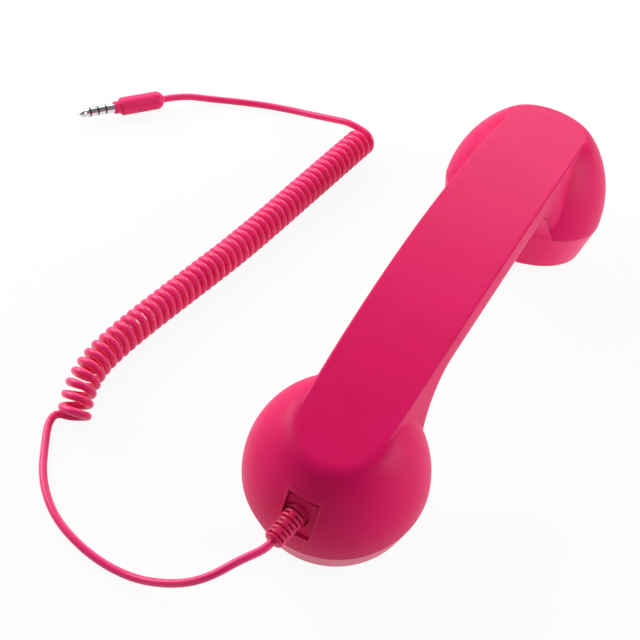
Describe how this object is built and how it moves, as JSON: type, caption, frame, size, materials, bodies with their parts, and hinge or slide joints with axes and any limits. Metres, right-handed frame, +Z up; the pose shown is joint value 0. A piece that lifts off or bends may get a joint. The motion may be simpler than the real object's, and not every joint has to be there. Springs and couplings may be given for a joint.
{
  "type": "telephone handset",
  "caption": "Retro telephone handset with domed cups, arched handle, call button, ribbed cord boot, curly cord and headset plug, lying face down.",
  "frame": {"origin": "on the table under the middle of the handle, the cord and plug left out", "axes": "+X from the mouth cup to the ear cup, +Z up, the handset lying face down"},
  "size_m": [0.2472, 0.1948, 0.0584],
  "materials": {
    "shell_plastic": "soft-touch matt",
    "cap_plastic": "soft-touch matt",
    "felt": "woven felt",
    "steel": "zinc plated",
    "basket_metal": "black",
    "cone_film": "clear brown film",
    "magnet_metal": "nickel plated",
    "capsule_metal": "satin",
    "black_rubber": "matt",
    "switch_plastic": "gloss",
    "board": "green lacquer",
    "cord_rubber": "satin",
    "plug_rubber": "matt",
    "pin_metal": "bright nickel",
    "pin_insulator": "gloss",
    "lead_plastic": "satin"
  },
  "bodies": {
    "handset": {"outer_shell": "shell_plastic", "inner_shell": "shell_plastic", "ear_cap": "cap_plastic", "mouth_cap": "cap_plastic", "ear_felt": "felt", "mouth_felt": "felt", "shell_screws": "steel", "speaker_gasket": "black_rubber", "speaker_basket": "basket_metal", "speaker_cone": "cone_film", "speaker_magnet": "magnet_metal", "mic_boot": "black_rubber", "mic_capsule": "capsule_metal", "tact_switch": "switch_plastic", "button_board": "board", "board_screws": "steel", "cord_anchor": "cord_rubber", "strain_relief": "cord_rubber", "cord_lead": "cord_rubber", "cord_curls": "cord_rubber", "cord_tail": "cord_rubber", "speaker_lead": "lead_plastic", "mic_lead": "lead_plastic", "cord_core": "lead_plastic", "plug_body": "plug_rubber", "plug_collar": "plug_rubber", "plug_sleeve": "pin_metal", "plug_ring_2": "pin_metal", "plug_ring_1": "pin_metal", "plug_tip": "pin_metal", "plug_insulators": "pin_insulator"},
    "button": {"call_button": "cap_plastic", "switch_plunger": "switch_plastic"}
  },
  "joints": [
    {"name": "call_press", "type": "slide", "parent": "handset", "child": "button", "axis": [0, 0, 1], "range_m": [0, 0.0008], "stiffness_N_per_m": 1500}
  ]
}
